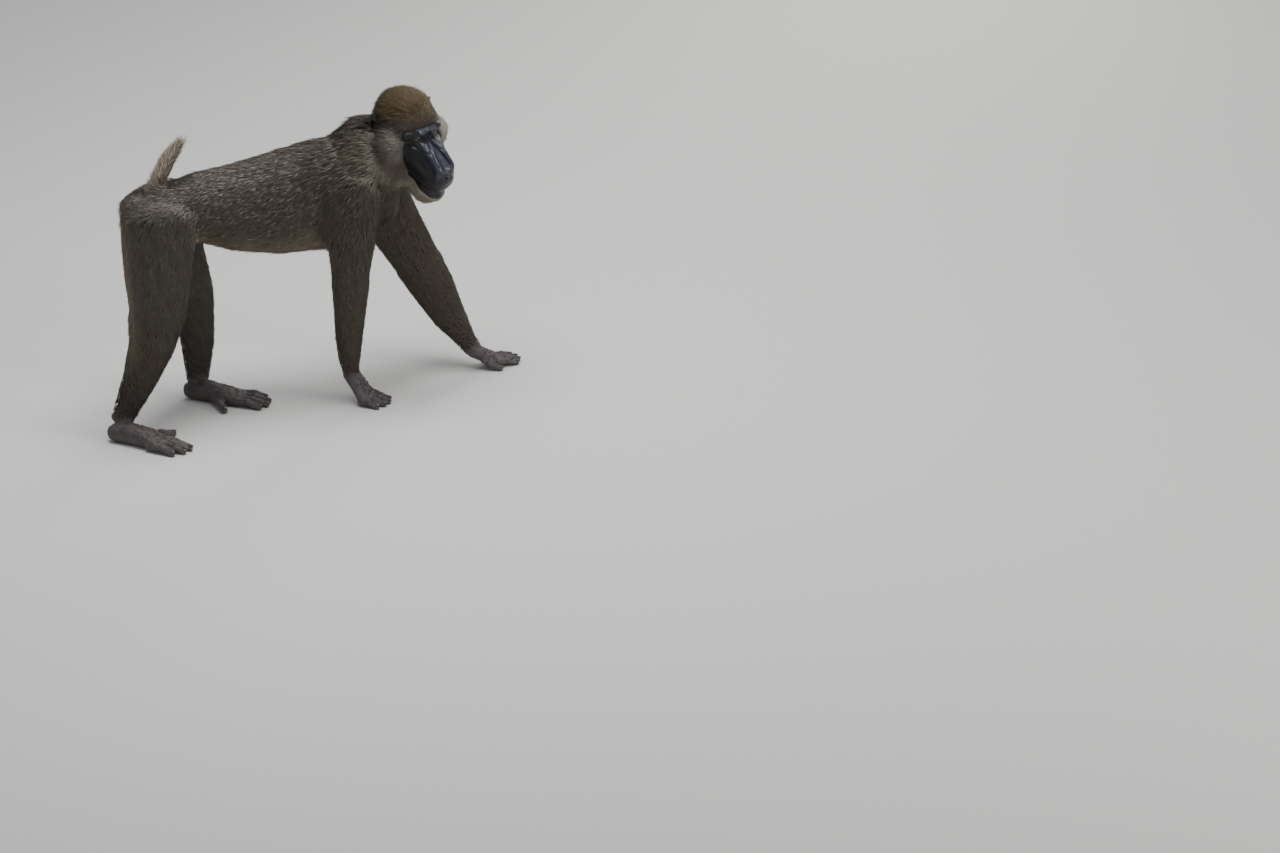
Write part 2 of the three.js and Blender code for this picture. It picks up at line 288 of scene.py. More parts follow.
skin = wrap_solids()
keep_largest_island(skin)
print("wrapped:", len(skin.data.vertices), "points")

# %% [markdown]
# Which part each point belongs to
# The lie, length and colour of a coat change from part to part, and change slowly. Each point of the
# skin asks for the nearest solid, takes that part's value, and then shares it with its neighbours a few
# times over, so that no border shows.

# %% Find the nearest part of each point
PARTS = sorted(nodes)


def build_part_tree():
    corners, faces, owner = [], [], []
    for number, name in enumerate(PARTS):
        mesh = nodes[name].data
        start = len(corners)
        corners.extend(v.co.copy() for v in mesh.vertices)
        for face in mesh.polygons:
            faces.append([start + i for i in face.vertices])
            owner.append(number)
    return BVHTree.FromPolygons(corners, faces), np.array(owner)


part_tree, part_of_face = build_part_tree()


def nearest_parts(points):
    found = [part_tree.find_nearest(Vector(p))[2] for p in points]
    return part_of_face[np.array(found)]


def spread(values, edges, passes, share=0.5):
    """Each point's value moves towards the mean of its neighbours'."""
    values = np.array(values, float)
    flat = values.reshape(len(values), -1)
    count = len(flat)
    first, second = edges[:, 0], edges[:, 1]
    degree = np.bincount(first, minlength=count) + np.bincount(second, minlength=count)
    share = np.broadcast_to(share, count)
    for _ in range(passes):
        for k in range(flat.shape[1]):
            column = flat[:, k]
            total = (np.bincount(first, column[second], count)
                     + np.bincount(second, column[first], count))
            flat[:, k] = column + share * (total / degree - column)
    return flat.reshape(values.shape)


def without_side(name):
    return name.replace("_left", "").replace("_right", "")


def per_part(table, parts, default=0.0):
    """Looks a value up by the part's name without its side."""
    row = [table.get(without_side(name), default) for name in PARTS]
    return np.array(row, float)[parts]


print("parts:", PARTS)

# %% [markdown]
# The bare face
# A drill's face is a hairless black mask. Its border runs above the brow, down in front of the cheeks
# and along the jaw, and leaves the chin's fringe outside. A signed distance to that border, in the
# head's measure, tells every later step what is face and what is fur.

# %% Draw the border of the mask
MASK_HALF_WIDTH = 54
MASK_TOP = 22.5
MASK_TOP_FALL = 0.0036


def mask_back(z):
    """How far back the mask reaches at the side of the face, at each height."""
    return np.interp(z, [-100, -76, -39, 9, 22], [-7, -7, -9, -18, -20])


def jaw_line(x):
    """The height of the mask's lower border, from under the cheek to the chin."""
    return np.interp(x, [-10, 10, 31, 50, 75], [-78, -91, -101, -111, -108])


def inside_mask(local):
    x, y, z = local.T
    gap = np.minimum(MASK_HALF_WIDTH - np.abs(y), MASK_TOP - MASK_TOP_FALL * y ** 2 - z)
    gap = np.minimum(gap, z - jaw_line(x))
    return np.minimum(gap, x - mask_back(z))


def ramp(value, low, high):
    t = np.clip((value - low) / (high - low), 0, 1)
    return t * t * (3 - 2 * t)


print("the mask reaches back to:", mask_back(0), "at the eyes")

# %% [markdown]
# From the coat down to the skin
# The wrapped surface is the outside of the coat. First its creases are melted, by the kind of smoothing
# that pushes back after each pull so that nothing shrinks. Then each point sinks by the depth of the
# coat where it is: most on the mane and the back, little on the shins, and none on the face and hands.

# %% Melt the creases and sink the skin
COAT_DEPTH = {
    "chest": 12, "belly": 11, "rump": 10, "neck": 14, "head": 12, "tail": 7,
    "upper_arm": 9, "forearm": 6.5, "thigh": 9, "shank": 6.5, "lower_jaw": 10,
    "hand": 0.6, "foot": 0.6, "ear": 0.5,
}
SOFTEN = {
    "hand": 0.0, "foot": 0.0, "ear": 0.0, "muzzle": 0.0, "lower_jaw": 0.10, "tail": 0.0,
    "forearm": 0.08, "shank": 0.08, "thigh": 0.46, "upper_arm": 0.46,
}
SOFTEN_FACE = {"muzzle": 0.035, "lower_jaw": 0.08, "head": 0.035}
MELT = {"hand": 0.10, "foot": 0.10, "ear": 0.08, "muzzle": 0.16, "lower_jaw": 0.2}


def melt(points, edges, passes, share):
    """Pulls and pushes in turn, which smooths without shrinking."""
    for _ in range(passes):
        points = spread(points, edges, 1, share)
        points = spread(points, edges, 1, -share * 1.03)
    return points


def sink_to_skin(body):
    mesh = body.data
    points, edges = points_of(mesh), edges_of(mesh)
    parts = nearest_parts(points)
    outside = -inside_mask(to_head(points))
    bare = 1 - ramp(outside, -1, 2)
    away_from_face = ramp(outside, 0, 26)
    soften = per_part(SOFTEN, parts, 0.5) * away_from_face
    soften = spread(np.maximum(soften, per_part(SOFTEN_FACE, parts)), edges, 10)
    rough_points = points
    points = spread(points, edges, 240, soften)
    share = spread(per_part(MELT, parts, 0.5) * (1 - 0.55 * bare), edges, 12)
    points = melt(points, edges, 40, share)
    set_points(mesh, points)
    already = ((rough_points - points) * normals_of(mesh)).sum(1)
    depth = per_part(COAT_DEPTH, parts) * away_from_face * MM
    depth = np.clip(depth - already, 0, depth)
    depth = spread(depth, edges, 40, 0.5 * (1 - bare))
    steps = 6
    for _ in range(steps):
        set_points(mesh, points)
        points = points - normals_of(mesh) * (depth / steps)[:, None]
        points = spread(points, edges, 6, 0.5 * ramp(depth, 1 * MM, 6 * MM))
    points[:, 2] = np.maximum(points[:, 2], 0)
    set_points(mesh, points)
    return parts, bare


skin_parts, skin_bare = sink_to_skin(skin)
print("skin:", len(skin.data.vertices), "points")

# %% [markdown]
# Detail where it shows
# Under the coat the skin needs few faces, and on the face, hands and feet it needs many. A Decimate
# modifier guided by a vertex group thins only the furry parts, and the lids, nose and mouth are then
# subdivided.

# %% Thin the hidden parts and refine the face
KEEP = {"hand": 1.0, "foot": 1.0, "ear": 1.0, "muzzle": 1.0, "lower_jaw": 0.6}
THINNED_TO = 0.18


def thin_hidden_parts(body, parts, bare):
    group = body.vertex_groups.new(name="thin")
    hidden = 1 - np.maximum(per_part(KEEP, parts), bare)
    for level in np.unique(hidden.round(1)):
        members = np.nonzero(hidden.round(1) == level)[0].tolist()
        group.add(members, float(level), "REPLACE")
    apply_modifier(body, "DECIMATE", decimate_type="COLLAPSE", ratio=THINNED_TO,
                   vertex_group="thin", vertex_group_factor=8.0)
    body.vertex_groups.clear()


def refine(body, wanted):
    """Cuts the edges in two wherever the test on the head's measure says so."""
    edit_points(body, wanted(to_head(points_of(body.data))))
    bpy.ops.mesh.subdivide(number_cuts=1)
    bpy.ops.mesh.select_all(action="SELECT")
    bpy.ops.mesh.quads_convert_to_tris()
    bpy.ops.object.mode_set(mode="OBJECT")


def near_eyes(local, reach):
    mirrored = np.column_stack([local[:, 0], np.abs(local[:, 1]), local[:, 2]])
    return np.linalg.norm(mirrored - EYE_PLACE, axis=1) < reach


def fine_face(local):
    x, y, z = local.T
    snout = (x > 30) & (np.abs(y) < 36) & (z < -10) & (z > -112)
    bridge = (x > -6) & (np.abs(y) < 30) & (z > -60)
    return near_eyes(local, 21) | snout | bridge


def finest_face(local):
    x, y, z = local.T
    nose = (x > 58) & (np.abs(y) < 17) & (z > -62) & (z < -34)
    return near_eyes(local, 15.5) | nose


thin_hidden_parts(skin, skin_parts, skin_bare)
refine(skin, fine_face)
refine(skin, finest_face)
print("skin:", len(skin.data.polygons), "faces")

# %% [markdown]
# Modelling the face
# A sculptor would now carve the lids, ridges, nostrils and lips. Here each is a small formula that moves
# the points near it, in the head's measure: the long swellings beside the nose, the groove between them,
# comma-shaped nostrils, the line of the closed mouth, and the lids round each eye.

# %% Carve the ridges, the nose and the mouth
def bump(distance, width):
    return np.exp(-(distance / width) ** 2)


def nose_relief(local):
    """A dorsum that widens to the nose, a groove, and a swelling that tapers, on each side."""
    x, y, z = local.T
    side = np.abs(y)
    along = ramp(x, -2, 12) * (1 - ramp(x, 60, 69))
    upper = ramp(z, -66, -50)
    groove_at = np.interp(x, [0, 27, 56, 66], [2.0, 6.0, 11.5, 13.0])
    crest_at = np.interp(x, [5, 29, 48, 66], [14.0, 15.0, 16.5, 17.5])
    crest_width = np.interp(x, [5, 29, 48, 66], [7.5, 6.0, 4.0, 2.6])
    swelling = 3.9 * bump(side - crest_at, crest_width)
    groove = -2.8 * bump(side - groove_at, 1.9)
    streaks = 0.32 * np.cos((side - groove_at) * 2.1) * ramp(side, groove_at + 1, groove_at + 3)
    streaks = streaks * (1 - ramp(side, 20, 23))
    flank = -2.2 * bump(side - 27, 4.5) * ramp(x, 4, 20)
    return (swelling + groove + streaks + flank) * along * upper


def nose_pad(local):
    x, y, z = local.T
    pad = 1.6 * bump(np.hypot(np.hypot(x - 74, (np.abs(y) - 4.5) * 0.9), z + 43), 6.5)
    hole = np.hypot(np.hypot((x - 76) * 0.7, np.abs(y) - 6.0), (z + 49.5) * 1.15)
    slit = np.hypot((x - 77) * 0.5, (np.abs(y) - 9.6) * 0.55) + np.abs(z + 47.5)
    middle = -0.9 * bump(np.hypot(y, (z + 52) * 0.35), 1.5) * ramp(x, 66, 72)
    return pad - 5.0 * bump(hole, 2.7) - 1.6 * bump(slit, 2.2) + middle


MOUTH_FRONT = (72.0, -77.0)
MOUTH_CORNER = (20.0, -74.0)


def mouth_height(x):
    along = np.clip((x - MOUTH_CORNER[0]) / (MOUTH_FRONT[0] - MOUTH_CORNER[0]), -0.3, 1.2)
    straight = MOUTH_CORNER[1] + along * (MOUTH_FRONT[1] - MOUTH_CORNER[1])
    return straight - 6.0 * np.sin(np.clip(along, 0, 1) * math.pi)


def mouth_relief(local):
    x, y, z = local.T
    off = z - mouth_height(x)
    there = ramp(x, MOUTH_CORNER[0] - 3, MOUTH_CORNER[0] + 8)
    line = -2.4 * bump(off, 1.25)
    lips = 1.2 * bump(off - 4.2, 3.2) + 1.5 * bump(off + 4.6, 3.4)
    return (line + lips) * there


def face_relief(local):
    x, y, z = local.T
    cheek_fold = -1.1 * bump(np.hypot(x - 2, z + 0.35 * np.abs(y) + 22), 3.5)
    under_eye = -0.9 * bump(np.hypot((np.abs(y) - 17.5) * 0.8, z + 1) - 14.5, 1.6) * (z < -6)
    between_eyes = -5.5 * bump(np.hypot(y * 0.62, z - 9), 8.5) * ramp(x, -8, -2)
    brow_fold = -0.8 * bump(y, 1.6) * ramp(z, 3, 8) * (z < 20)
    folds = cheek_fold * (np.abs(y) > 26) + under_eye * ramp(x, -24, -12)
    return folds + between_eyes + brow_fold


def carve_face(body):
    mesh = body.data
    points = points_of(mesh)
    local = to_head(points)
    mask = ramp(inside_mask(local), -1, 3)
    lift = nose_relief(local) + nose_pad(local) + mouth_relief(local) + face_relief(local)
    lift = lift * mask * (local[:, 0] > -30)
    points = points + normals_of(mesh) * (lift * MM)[:, None]
    set_points(mesh, points)
    print("carved:", int((np.abs(lift) > 0.2).sum()), "points")


carve_face(skin)

# %% [markdown]
# The lids
# An eyelid is a thin sheet lying on the eyeball. Seen from the middle of the eye, the opening is an
# almond. Points inside the almond go behind the eyeball's surface, out of sight. Points just outside it
# are laid on the eyeball with the thickness of a lid, and further out they keep their place.

# %% Shape the lids round each eye
LID_THICKNESS = 1.25
HIDDEN_BEHIND = 1.6
OPENING_HALF_WIDTH = 60.0
UPPER_LID = 29.0
LOWER_LID = 27.0
LIDS_OUTWARD = {"left": 8.0, "right": -8.0}
LIDS_UPWARD = 0.34
GAZE = np.array([0.82, -0.27, 0.46])


def eye_axes(side):
    turn = math.radians(LIDS_OUTWARD[side])
    forward = np.array([math.cos(turn), math.sin(turn), LIDS_UPWARD])
    forward = forward / np.linalg.norm(forward)
    across = np.cross([0, 0, 1], forward)
    across = across / np.linalg.norm(across)
    return forward, across, np.cross(forward, across)


def lid_edge(across_angle):
    """Upper and lower edge of the opening, in degrees, at an angle across the eye."""
    t = np.clip(np.abs(across_angle) / OPENING_HALF_WIDTH, 0, 1)
    arch = (1 - t ** 2) ** 0.8
    return UPPER_LID * arch, -LOWER_LID * arch


def shape_lids(body, side):
    mesh = body.data
    points = points_of(mesh)
    local = to_head(points)
    centre = np.array(to_head(np.array(box_centre("eye_" + side))))
    forward, across, upward = eye_axes(side)
    away = local - centre
    reach = np.linalg.norm(away, axis=1)
    ahead, beside, above = away @ forward, away @ across, away @ upward
    sideways = np.degrees(np.arctan2(beside, np.maximum(ahead, 0.5)))
    upwards = np.degrees(np.arctan2(above, np.hypot(np.maximum(ahead, 0.5), beside)))
    top, bottom = lid_edge(sideways)
    past = np.maximum(upwards - top, bottom - upwards)
    past = np.maximum(past, np.abs(sideways) - OPENING_HALF_WIDTH)
    past = past * math.radians(EYE_RADIUS)
    near = (reach < 22) & (ahead > -1.5)
    on_lid = EYE_RADIUS + LID_THICKNESS
    fold = 0.5 * bump(past - 3.4, 0.8) * (above > 0)
    blend = ramp(past, 0.8, 8.5)
    outside = on_lid - fold + blend * (reach - on_lid)
    outside = np.maximum(outside, EYE_RADIUS + 0.7)
    inside = EYE_RADIUS - HIDDEN_BEHIND
    wanted = inside + (outside - inside) * ramp(past, -0.75, 0.15)
    fade = ramp(ahead, -1.5, 3.0)
    new_reach = reach + (wanted - reach) * fade
    moved = centre + away * (new_reach / np.maximum(reach, 0.01))[:, None]
    local[near] = moved[near]
    set_points(mesh, from_head(local))
    print("lids,", side, "eye:", int(near.sum()), "points")


for side in ("left", "right"):
    shape_lids(skin, side)
only(skin)
bpy.ops.object.shade_smooth()

# %% [markdown]
# The eyes
# A drill's eye is small, amber-brown and set deep. The eyeball is a sphere whose front is drawn out a
# little into the clear bulge over the iris. The rings of the iris and the pupil come from the angle to
# the line of sight, so that they stay round.

# %% Make the eyeballs
IRIS_RADIUS = 5.4
PUPIL_RADIUS = 2.0


def colour_steps(tree, value, steps):
    node = tree.nodes.new("ShaderNodeValToRGB")
    node.color_ramp.elements[0].position = steps[0][0]
    node.color_ramp.elements[0].color = steps[0][1]
    node.color_ramp.elements[1].position = steps[-1][0]
    node.color_ramp.elements[1].color = steps[-1][1]
    for place, colour in steps[1:-1]:
        node.color_ramp.elements.new(place).color = colour
    tree.links.new(value, node.inputs["Fac"])
    return node.outputs["Color"]


def eye_material():
    material, shader = new_material("eye", 0.06)
    shader.inputs["Specular IOR Level"].default_value = 0.6
    tree = material.node_tree
    angle = tree.nodes.new("ShaderNodeAttribute")
    angle.attribute_name = "from_sight"
    grain = tree.nodes.new("ShaderNodeTexNoise")
    grain.inputs["Scale"].default_value = 900
    grain.inputs["Detail"].default_value = 4
    rough = tree.nodes.new("ShaderNodeMath")
    rough.operation = "MULTIPLY_ADD"
    rough.inputs[1].default_value = 0.10
    tree.links.new(grain.outputs["Fac"], rough.inputs[0])
    tree.links.new(angle.outputs["Fac"], rough.inputs[2])
    colour = colour_steps(tree, rough.outputs["Value"], [
        (0.10, (0.002, 0.002, 0.002, 1)),
        (0.235, (0.003, 0.002, 0.002, 1)),
        (0.265, (0.030, 0.018, 0.005, 1)),
        (0.40, (0.085, 0.056, 0.016, 1)),
        (0.56, (0.040, 0.022, 0.006, 1)),
        (0.625, (0.008, 0.004, 0.003, 1)),
        (0.72, (0.018, 0.011, 0.008, 1)),
        (1.0, (0.045, 0.030, 0.022, 1)),
    ])
    tree.links.new(colour, shader.inputs["Base Color"])
    return material


def make_eye(side, material):
    centre = box_centre("eye_" + side)
    bpy.ops.object.select_all(action="DESELECT")
    bpy.ops.mesh.primitive_uv_sphere_add(
        segments=48, ring_count=32, radius=EYE_RADIUS * MM, location=(0, 0, 0))
    eye = bpy.context.active_object
    eye.name = eye.data.name = "eyeball_" + side
    forward = Vector(HEAD_TURN @ (GAZE / np.linalg.norm(GAZE)))
    points = points_of(eye.data)
    out = points / np.linalg.norm(points, axis=1)[:, None]
    sight = np.degrees(np.arccos(np.clip(out @ np.array(forward), -1, 1)))
    bulge = 0.75 * ramp(34 - sight, 0, 26)
    points = points + out * (bulge * MM)[:, None] + np.array(centre)
    set_points(eye.data, points)
    layer = eye.data.attributes.new("from_sight", "FLOAT", "POINT")
    layer.data.foreach_set("value", np.clip(sight / 60, 0, 1).astype(np.float32))
    only(eye)
    bpy.ops.object.shade_smooth()
    eye.data.materials.append(material)
    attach(eye, "root")
    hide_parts("eye_" + side)
    return eye


eye_finish = eye_material()
eyes = [make_eye(side, eye_finish) for side in ("left", "right")]
print("eyes:", [e.name for e in eyes])

# %% [markdown]
# The markings
# The same colours serve the skin and the coat. They are worked out from the part of the body and from
# simple rules: an olive crown with a dark band over the brow, a paler ruff and chin fringe, a dark
# shoulder and thigh, a buff belly, buttock and tail, and pink bare skin on the seat. Two rules paint
# light: the top of the back is paler where it faces up, a painted highlight from above, and the ruff is
# paler on the far side of the head than on the near side, painted backlight.

# %% Work out the markings
PART_COLOURS = {
    "chest": (0.125, 0.104, 0.085), "belly": (0.170, 0.148, 0.122), "rump": (0.190, 0.166, 0.142),
    "neck": (0.135, 0.113, 0.092), "head": (0.160, 0.136, 0.114), "tail": (0.240, 0.195, 0.145),
    "upper_arm": (0.088, 0.074, 0.060), "forearm": (0.120, 0.100, 0.074),
    "thigh": (0.105, 0.092, 0.078), "shank": (0.098, 0.082, 0.064),
    "lower_jaw": (0.42, 0.37, 0.29), "muzzle": (0.012, 0.011, 0.013), "ear": (0.014, 0.012, 0.012),
    "hand": (0.075, 0.060, 0.062), "foot": (0.075, 0.060, 0.060),
}
UNSEEN_COLOUR = (0.1, 0.1, 0.1)
KEPT_APART = {"ear": 0.05, "hand": 0.2, "foot": 0.2, "muzzle": 0.1, "lower_jaw": 0.1}
FACE_BLACK = np.array((0.0060, 0.0056, 0.0064))
CROWN_OLIVE = np.array((0.080, 0.057, 0.024))
BROW_BAND = np.array((0.045, 0.036, 0.025))
RUFF_PALE = np.array((0.43, 0.40, 0.36))
FRINGE_PALE = np.array((0.50, 0.45, 0.36))
CHEEK_GREY = np.array((0.150, 0.126, 0.100))
# Bluish grey of the nose ridges: partly their own tint, partly lightened as a painted sheen.
RIDGE_BLUE_AND_SHEEN = np.array((0.022, 0.023, 0.034))
# Painted highlight: the paler colour for the top of the back, as if lit from above.
BACK_PAINTED_HIGHLIGHT = np.array((0.275, 0.245, 0.215))
BELLY_BUFF = np.array((0.380, 0.320, 0.225))
BUTTOCK_BUFF = np.array((0.270, 0.225, 0.165))
SEAT_PINK = np.array((0.360, 0.200, 0.180))
SPINE_Y = 0.037
HEAD_MIDDLE = (-30.0, 0.0, -20.0)
HEAD_REACH = 150


def towards(colours, target, amount):
    return colours + (target - colours) * amount[:, None]


def near_head(local, fade):
    """One within reach of the head, nought beyond it."""
    return ramp(HEAD_REACH - np.linalg.norm(local - HEAD_MIDDLE, axis=1), 0, fade)


def crown_amount(points):
    """One on the speckled cap of the crown."""
    local = to_head(points)
    return ramp(local[:, 2], 20, 30) * ramp(local[:, 0], -116, -88) * (points[:, 2] > 0.5)


def part_colours(points, parts, edges, passes=110):
    row = [PART_COLOURS.get(without_side(name), UNSEEN_COLOUR) for name in PARTS]
    share = per_part(KEPT_APART, parts, 0.5)
    return spread(np.array(row)[parts], edges, passes, share)


def mark(points, normals, colours):
    """Adds the markings that don't follow the parts, and a painted highlight on the top of the back."""
    x, _, z = points.T
    # Painted highlight: where the back faces up it is made paler, as the overhead light would make it.
    top = ramp(normals[:, 2], 0.35, 0.95) * ramp(z, 0.40, 0.46) * ramp(0.10 - x, 0, 0.14)
    top = top * (0.45 + 0.55 * ramp(x, -0.34, -0.20))
    colours = towards(colours, BACK_PAINTED_HIGHLIGHT, 0.55 * top)
    under = ramp(-normals[:, 2], 0.10, 0.85) * ramp(z, 0.27, 0.30) * ramp(0.12 - x, 0, 0.05)
    colours = towards(colours, BELLY_BUFF, 0.80 * under * ramp(x, -0.24, -0.20))
    behind = ramp(-normals[:, 0], 0.35, 0.95) * ramp(-0.26 - x, 0, 0.04) * ramp(z, 0.12, 0.20)
    colours = towards(colours, BUTTOCK_BUFF, 0.75 * behind)
    colours = mark_head(points, normals, colours)
    seat = seat_patch(points)
    return towards(colours, SEAT_PINK, seat), seat


def mark_head(points, normals, colours):
    local = to_head(points)
    x, y, z = local.T
    near = near_head(local, 25)
    outside = -inside_mask(local)
    facing = normals @ HEAD_TURN[:, 0]
    side = np.abs(y)
    # Painted backlight: the far side of the head gets more of the pale ruff colour than the near side.
    backlit_far_side = ramp(y, -8, 8)
    cheek = near * ramp(side, 22, 40) * ramp(x, -105, -80)
    cheek = cheek * (1 - ramp(z, 4, 20)) * ramp(z, -120, -85)
    colours = towards(colours, CHEEK_GREY, 0.75 * cheek)
    crown = near * ramp(z, 20, 29) * ramp(x, -116, -88)
    colours = towards(colours, CROWN_OLIVE, 0.92 * crown)
    beside = crown * ramp(side, 34, 44)
    colours = towards(colours, CHEEK_GREY, 0.8 * beside)
    # A pale strip beside the crown, on the far side only: painted backlight.
    colours = towards(colours, RUFF_PALE, 0.5 * beside * ramp(side, 42, 50) * backlit_far_side)
    temple = near * bump(z - 19, 6) * ramp(x, -80, -50) * ramp(side, 18, 30)
    band = near * (1 - ramp(outside, 5, 14)) * ramp(z, 8, 16)
    colours = towards(colours, BROW_BAND, 0.85 * np.maximum(temple, band))
    # The pale ruff along the mask's edge: its own colour on the near side, made paler on the far side as
    # painted backlight.
    rim = near * bump(outside - 7, 7) * ramp(facing, 0.0, 0.5) * (1 - ramp(z, 14, 26))
    rim = rim * ramp(side, 24, 34) * ramp(z, -108, -88) * (0.25 + 0.75 * backlit_far_side)
    colours = towards(colours, RUFF_PALE, 0.8 * rim)
    # A pale strip at the back edge of the cheek: a little of the ruff's own colour on the near side,
    # mostly painted backlight on the far side.
    far_edge = near * ramp(x, -62, -40) * ramp(side, 40, 50) * (1 - ramp(z, 30, 42))
    far_edge = far_edge * ramp(z, -100, -78) * (0.12 + 0.88 * backlit_far_side)
    colours = towards(colours, RUFF_PALE, 0.9 * far_edge * ramp(facing, -0.1, 0.35))
    fringe = near * ramp(-z, 90, 102) * ramp(x, -42, -20) * (1 - ramp(side, 34, 50))
    return towards(colours, FRINGE_PALE, 0.8 * fringe)


def seat_patch(points):
    """Two bare ovals either side of the cleft under the tail."""
    x, y, z = points.T
    side = np.abs(y - SPINE_Y) - 0.024
    oval = np.hypot(side / 0.017, (z - 0.415) / 0.030)
    return (1 - ramp(oval, 0.75, 1.15)) * ramp(-0.315 - x, -0.012, 0.004)


print("colours for", len(PART_COLOURS), "kinds of part")

# %% [markdown]
# The skin's finish
# Under the coat only the skin's colour matters, as it shows between the tufts. The bare face is black
# and a little shiny, with fine creases, and the hands and feet are a dark purplish grey. One material
# reads the markings and the bareness stored on the points, and adds grain and creases by noise.

# %% Colour the skin and give it its material
def store(mesh, name, values, kind="FLOAT"):
    layer = mesh.attributes.new(name, kind, "POINT")
    flat = np.ascontiguousarray(values, np.float32).ravel()
    layer.data.foreach_set("color" if kind == "FLOAT_COLOR" else "value", flat)


def with_alpha(colours):
    return np.column_stack([colours, np.ones(len(colours))])


def bare_amount(points, parts):
    """One on the face, hands, feet and ears, nought under the coat."""
    mask = ramp(inside_mask(to_head(points)), -1, 2)
    return np.maximum(mask, per_part({"hand": 1, "foot": 1, "ear": 1}, parts))


def colour_skin(body):
    mesh = body.data
    points, edges, normals = points_of(mesh), edges_of(mesh), normals_of(mesh)
    parts = nearest_parts(points)
    plain = part_colours(points, parts, edges)
    colours, seat = mark(points, normals, plain)
    colours = colours + (plain - colours) * per_part({"ear": 1.0}, parts)[:, None]
    coat_colours = colours
    local = to_head(points)
    mask = ramp(inside_mask(local), -0.5, 1.5)
    under_edge = ramp(inside_mask(local), -5.5, -3.0)
    colours = towards(colours, FACE_BLACK, under_edge)
    # Upper muzzle turned bluish grey: partly the skin's own tint, partly a painted sheen that stands in
    # for the highlights on the nose ridges.
    ridge_tint_and_sheen = ramp(26 - np.abs(local[:, 1]), 0, 6) * ramp(local[:, 0], -14, 0) * mask
    ridge_tint_and_sheen = ridge_tint_and_sheen * ramp(local[:, 2], -62, -48)
    colours = towards(colours, RIDGE_BLUE_AND_SHEEN, ridge_tint_and_sheen)
    bare = spread(np.maximum(bare_amount(points, parts), seat), edges, 4)
    store(mesh, "skin_colour", with_alpha(colours), "FLOAT_COLOR")
    store(mesh, "bare", bare)
    store(mesh, "face", mask)
    return parts, coat_colours


def link_noise(tree, place, scale, detail, roughness=0.55):
    noise = tree.nodes.new("ShaderNodeTexNoise")
    noise.inputs["Scale"].default_value = scale
    noise.inputs["Detail"].default_value = detail
    noise.inputs["Roughness"].default_value = roughness
    tree.links.new(place, noise.inputs["Vector"])
    return noise.outputs["Fac"]


def link_math(tree, operation, *values):
    node = tree.nodes.new("ShaderNodeMath")
    node.operation = operation
    for socket, value in zip(node.inputs, values):
        if isinstance(value, (int, float)):
            socket.default_value = value
        else:
            tree.links.new(value, socket)
    return node.outputs["Value"]


def skin_material():
    material, shader = new_material("skin", 0.5)
    shader.inputs["Specular IOR Level"].default_value = 0.42
    tree = material.node_tree
    place = tree.nodes.new("ShaderNodeTexCoord").outputs["Object"]
    colour = tree.nodes.new("ShaderNodeAttribute")
    colour.attribute_name = "skin_colour"
    bare = tree.nodes.new("ShaderNodeAttribute")
    bare.attribute_name = "bare"
    face = tree.nodes.new("ShaderNodeAttribute")
    face.attribute_name = "face"
    blotches = link_noise(tree, place, 60, 5)
    grain = link_noise(tree, place, 700, 4)
    bright = link_math(tree, "MULTIPLY_ADD", blotches, 0.9, 0.55)
    tint = tree.nodes.new("ShaderNodeVectorMath")
    tint.operation = "SCALE"
    tree.links.new(colour.outputs["Color"], tint.inputs[0])
    tree.links.new(bright, tint.inputs["Scale"])
    tree.links.new(tint.outputs["Vector"], shader.inputs["Base Color"])
    shine = link_math(tree, "MULTIPLY_ADD", face.outputs["Fac"], -0.31, 0.60)
    rough = link_math(tree, "MULTIPLY_ADD", grain, 0.10, shine)
    tree.links.new(rough, shader.inputs["Roughness"])
    creases = tree.nodes.new("ShaderNodeTexVoronoi")
    creases.feature = "DISTANCE_TO_EDGE"
    creases.inputs["Scale"].default_value = 330
    warp = tree.nodes.new("ShaderNodeVectorMath")
    warp.operation = "MULTIPLY_ADD"
    warp.inputs[1].default_value = (0.004, 0.004, 0.004)
    tree.links.new(blotches, warp.inputs[0])
    tree.links.new(place, warp.inputs[2])
    tree.links.new(warp.outputs["Vector"], creases.inputs["Vector"])
    cells = link_math(tree, "MINIMUM", creases.outputs["Distance"], 0.25)
    relief = link_math(tree, "MULTIPLY_ADD", cells, 2.0, grain)
    height = link_math(tree, "MULTIPLY", relief, bare.outputs["Fac"])
    bumps = tree.nodes.new("ShaderNodeBump")
    bumps.inputs["Strength"].default_value = 0.35
    bumps.inputs["Distance"].default_value = 0.0007
    tree.links.new(height, bumps.inputs["Height"])
    tree.links.new(bumps.outputs["Normal"], shader.inputs["Normal"])
    return material


def unwrap(body):
    only(body)
    body.data.uv_layers.new(name="OFBake")
    bpy.ops.object.mode_set(mode="EDIT")
    bpy.ops.mesh.select_all(action="SELECT")
    bpy.ops.uv.smart_project(angle_limit=math.radians(66), island_margin=0.001)
    bpy.ops.object.mode_set(mode="OBJECT")


skin_parts, coat_colours = colour_skin(skin)
unwrap(skin)
skin.data.materials.append(skin_material())
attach(skin, "root")
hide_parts(*[name for name in nodes if not name.startswith("eye_")])
print("skin finished:", len(skin.data.polygons), "faces")

# %% [markdown]
# The nails
# Each finger and toe ends in a small dark nail, like ours but narrower and more arched. A squashed
# sphere is sunk for half its thickness into the top of the tip, where the skin is found by a search for
# the nearest point. All twenty are joined into one piece.

